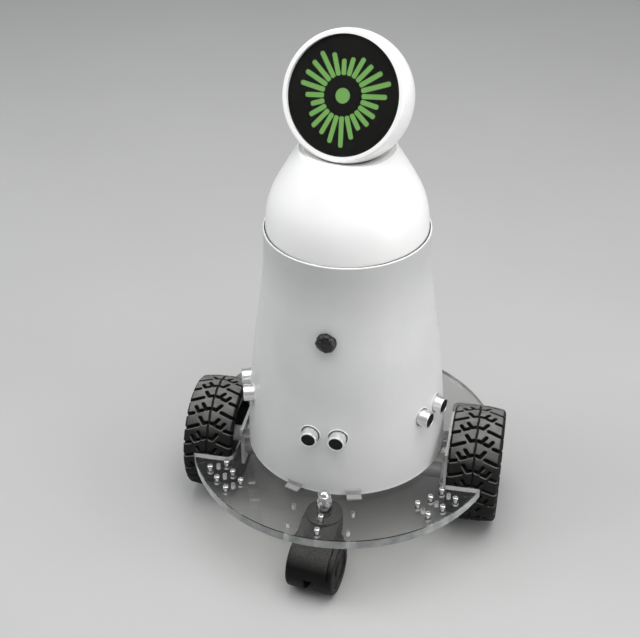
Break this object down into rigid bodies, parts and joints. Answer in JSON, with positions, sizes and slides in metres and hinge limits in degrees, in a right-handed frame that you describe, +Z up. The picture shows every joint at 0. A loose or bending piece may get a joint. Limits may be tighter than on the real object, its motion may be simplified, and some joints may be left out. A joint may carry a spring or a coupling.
{
  "type": "two-wheel robot car",
  "caption": "Wheeled robot on a clear disc chassis with side drive wheels, castors, a bell-shaped frosted body with range sensors, and a panning, tilting ball head with a round display.",
  "frame": {"origin": "on the floor under the body's vertical axis, midway between the drive wheels", "axes": "+Z up, the robot faces -Y, +X is the robot's own left; the drive wheels' axle runs along X"},
  "size_m": [0.314, 0.3352, 0.4978],
  "materials": {
    "clear_acrylic": "polished clear acrylic sheet",
    "frosted_shell": "frosted translucent white",
    "white_gloss": "satin white",
    "tyre_rubber": "block tread",
    "wheel_black": "satin black nylon",
    "steel": "bright zinc plated",
    "shaft_steel": "ground steel",
    "aluminium": "brushed",
    "motor_metal": "zinc plated can",
    "sensor_can": "satin cans with black mesh faces",
    "circuit_board": "solder mask with fitted parts",
    "black_plastic": "moulded black",
    "castor_black": "moulded black nylon",
    "battery_case": "sealed lead-acid case",
    "strap": "woven strap",
    "soft_black": "glossy soft cap",
    "clear_clip": "translucent clip",
    "deck_sheet": "white sheet",
    "display_glass": "black glossy cover",
    "display": "dark display with green graphic"
  },
  "bodies": {
    "chassis": {"base_plate": "clear_acrylic", "plate_screws": "steel", "plate_nuts": "steel", "m4_screws": "steel", "motor_brackets": "aluminium", "battery": "battery_case", "battery_strap": "strap", "motor_driver_board": "circuit_board", "computer_board": "circuit_board", "controller_board": "circuit_board", "board_spacers": "black_plastic", "mid_deck": "deck_sheet", "upper_deck": "deck_sheet", "deck_posts": "aluminium", "body_shell": "frosted_shell", "shell_clips": "clear_clip", "sonar_boards": "circuit_board", "microphone": "soft_black", "switch_housing": "black_plastic", "charge_socket": "black_plastic", "dome_cover": "white_gloss", "servo_mount": "aluminium", "pan_servo": "black_plastic", "sonar_cans_front": "sensor_can", "sonar_cans_left_front": "sensor_can", "sonar_cans_left_rear": "sensor_can", "sonar_cans_right_rear": "sensor_can", "sonar_cans_right_front": "sensor_can", "motor_left": "motor_metal", "motor_right": "motor_metal", "castor_bolts": "steel", "castor_nuts": "steel"},
    "power_rocker": {"switch_rocker": "black_plastic"},
    "neck": {"pan_horn": "black_plastic", "neck_bracket": "aluminium", "tilt_servo": "black_plastic"},
    "head": {"tilt_horn": "black_plastic", "head_frame": "black_plastic", "head_shell": "white_gloss", "face_bezel": "white_gloss", "display_panel": "display", "display_lens": "display_glass"},
    "left_wheel": {"tyre_left": "tyre_rubber", "wheel_rim_left": "wheel_black", "wheel_hub_left": "aluminium", "hub_nut_left": "steel", "drive_shaft_left": "shaft_steel"},
    "right_wheel": {"tyre_right": "tyre_rubber", "wheel_rim_right": "wheel_black", "wheel_hub_right": "aluminium", "hub_nut_right": "steel", "drive_shaft_right": "shaft_steel"},
    "front_castor": {"castor_hood_front": "castor_black", "castor_axle_front": "steel"},
    "front_castor_wheel_a": {"castor_wheel_a_front": "castor_black"},
    "front_castor_wheel_b": {"castor_wheel_b_front": "castor_black"},
    "rear_castor": {"castor_hood_rear": "castor_black", "castor_axle_rear": "steel"},
    "rear_castor_wheel_a": {"castor_wheel_a_rear": "castor_black"},
    "rear_castor_wheel_b": {"castor_wheel_b_rear": "castor_black"}
  },
  "joints": [
    {"name": "left_wheel_spin", "type": "hinge", "parent": "chassis", "child": "left_wheel", "pos_m": [0.132, 0, 0.0575], "axis": [1, 0, 0], "continuous": true},
    {"name": "right_wheel_spin", "type": "hinge", "parent": "chassis", "child": "right_wheel", "pos_m": [-0.132, 0, 0.0575], "axis": [1, 0, 0], "continuous": true},
    {"name": "front_castor_swivel", "type": "hinge", "parent": "chassis", "child": "front_castor", "pos_m": [0, -0.113, 0.065], "axis": [0, 0, 1], "continuous": true},
    {"name": "front_castor_roll_a", "type": "hinge", "parent": "front_castor", "child": "front_castor_wheel_a", "pos_m": [-0.00334, -0.13677, 0.025], "axis": [0.9903, -0.1392, 0], "continuous": true},
    {"name": "front_castor_roll_b", "type": "hinge", "parent": "front_castor", "child": "front_castor_wheel_b", "pos_m": [-0.00334, -0.13677, 0.025], "axis": [0.9903, -0.1392, 0], "continuous": true},
    {"name": "rear_castor_swivel", "type": "hinge", "parent": "chassis", "child": "rear_castor", "pos_m": [0, 0.113, 0.065], "axis": [0, 0, 1], "continuous": true},
    {"name": "rear_castor_roll_a", "type": "hinge", "parent": "rear_castor", "child": "rear_castor_wheel_a", "pos_m": [0.00334, 0.13677, 0.025], "axis": [0.9903, -0.1392, 0], "continuous": true},
    {"name": "rear_castor_roll_b", "type": "hinge", "parent": "rear_castor", "child": "rear_castor_wheel_b", "pos_m": [0.00334, 0.13677, 0.025], "axis": [0.9903, -0.1392, 0], "continuous": true},
    {"name": "head_pan", "type": "hinge", "parent": "chassis", "child": "neck", "pos_m": [0, 0, 0.442], "axis": [0, 0, 1], "range_deg": [-76, 104]},
    {"name": "head_tilt", "type": "hinge", "parent": "neck", "child": "head", "pos_m": [0, 0, 0.442], "axis": [-0.9703, 0.2419, 0], "range_deg": [-18, 9]},
    {"name": "power_rocker_tip", "type": "hinge", "parent": "chassis", "child": "power_rocker", "pos_m": [0.00418, 0.09564, 0.12804], "axis": [0.999, -0.0436, 0], "range_deg": [0, 20]}
  ]
}
